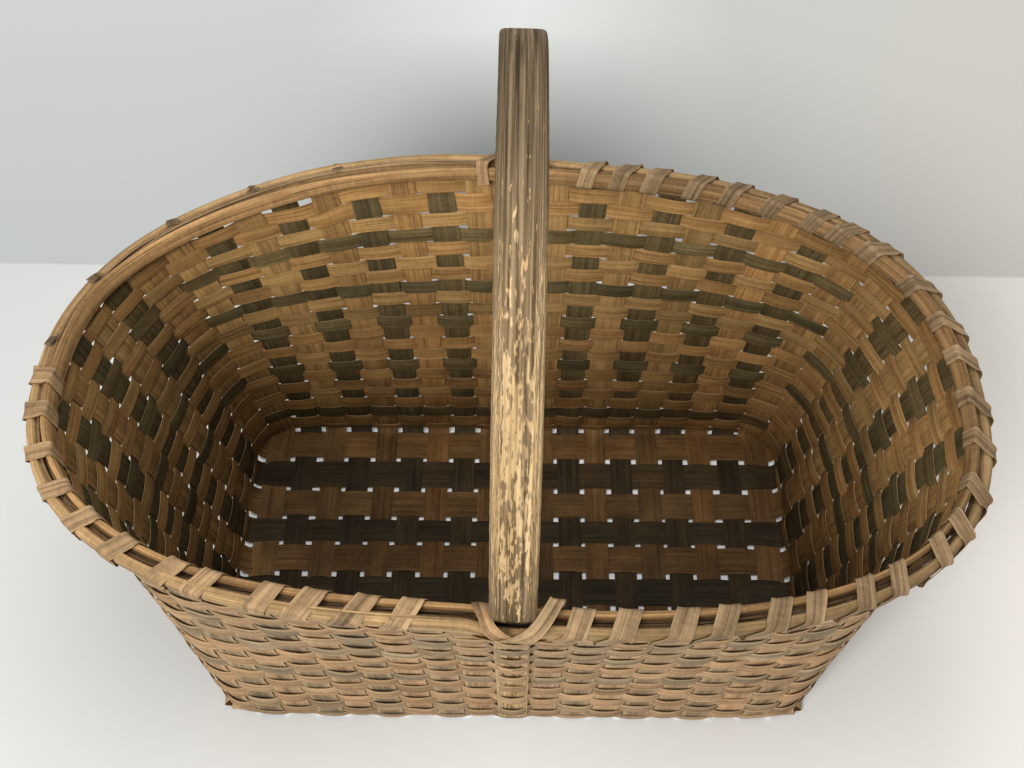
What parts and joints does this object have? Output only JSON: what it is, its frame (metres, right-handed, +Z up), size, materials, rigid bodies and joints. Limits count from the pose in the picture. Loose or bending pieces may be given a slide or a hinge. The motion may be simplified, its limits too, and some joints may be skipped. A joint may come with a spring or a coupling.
{
  "type": "woven splint gathering basket",
  "caption": "Open woven oak splint basket with a rectangular foot, flared walls, lashed rim hoops and a fixed arched handle, for gathering and carrying.",
  "frame": {"origin": "centre of the bottom of the bounding box, on the surface the basket stands on", "axes": "+X along the long way of the basket, to the right in the picture; +Y from the front side to the back side, along the handle's arch; +Z up"},
  "size_m": [0.5812, 0.3884, 0.4202],
  "materials": {
    "light_oak": "dry weathered split oak",
    "dark_oak": "dark dyed split oak, dull",
    "rim_oak": "shaved oak hoop, dull",
    "lashing_oak": "thin split oak strand, dull",
    "handle_oak": "carved oak worn smooth by hands"
  },
  "bodies": {
    "root": {"short_splint_01": "light_oak", "short_splint_02": "dark_oak", "short_splint_03": "light_oak", "short_splint_04": "dark_oak", "short_splint_05": "light_oak", "short_splint_06": "dark_oak", "short_splint_07": "light_oak", "short_splint_08": "dark_oak", "short_splint_09": "light_oak", "short_splint_10": "dark_oak", "short_splint_11": "light_oak", "short_splint_12": "dark_oak", "short_splint_13": "light_oak", "short_splint_14": "dark_oak", "short_splint_15": "light_oak", "short_splint_16": "dark_oak", "short_splint_17": "light_oak", "short_splint_18": "dark_oak", "short_splint_19": "light_oak", "long_splint_1": "light_oak", "long_splint_2": "dark_oak", "long_splint_3": "light_oak", "long_splint_4": "dark_oak", "long_splint_5": "light_oak", "long_splint_6": "dark_oak", "long_splint_7": "light_oak", "long_splint_8": "dark_oak", "long_splint_9": "light_oak", "starter_weaver": "light_oak", "weaver_01": "light_oak", "weaver_02": "dark_oak", "weaver_03": "light_oak", "weaver_04": "light_oak", "weaver_05": "light_oak", "weaver_06": "light_oak", "weaver_07": "dark_oak", "weaver_08": "light_oak", "weaver_09": "light_oak", "weaver_10": "light_oak", "weaver_11": "dark_oak", "weaver_12": "light_oak", "weaver_13": "light_oak", "weaver_14": "dark_oak", "weaver_15": "light_oak", "weaver_16": "light_oak", "weaver_17": "light_oak", "weaver_18": "dark_oak", "weaver_19": "light_oak", "weaver_20": "light_oak", "weaver_21": "light_oak", "inner_rim": "rim_oak", "outer_rim": "rim_oak", "rim_filler_right": "lashing_oak", "rim_filler_left": "lashing_oak", "rim_lashing_right": "lashing_oak", "rim_lashing_left": "lashing_oak", "front_cross_lashing": "lashing_oak", "back_cross_lashing": "lashing_oak", "bail_handle": "handle_oak"}
  },
  "joints": []
}
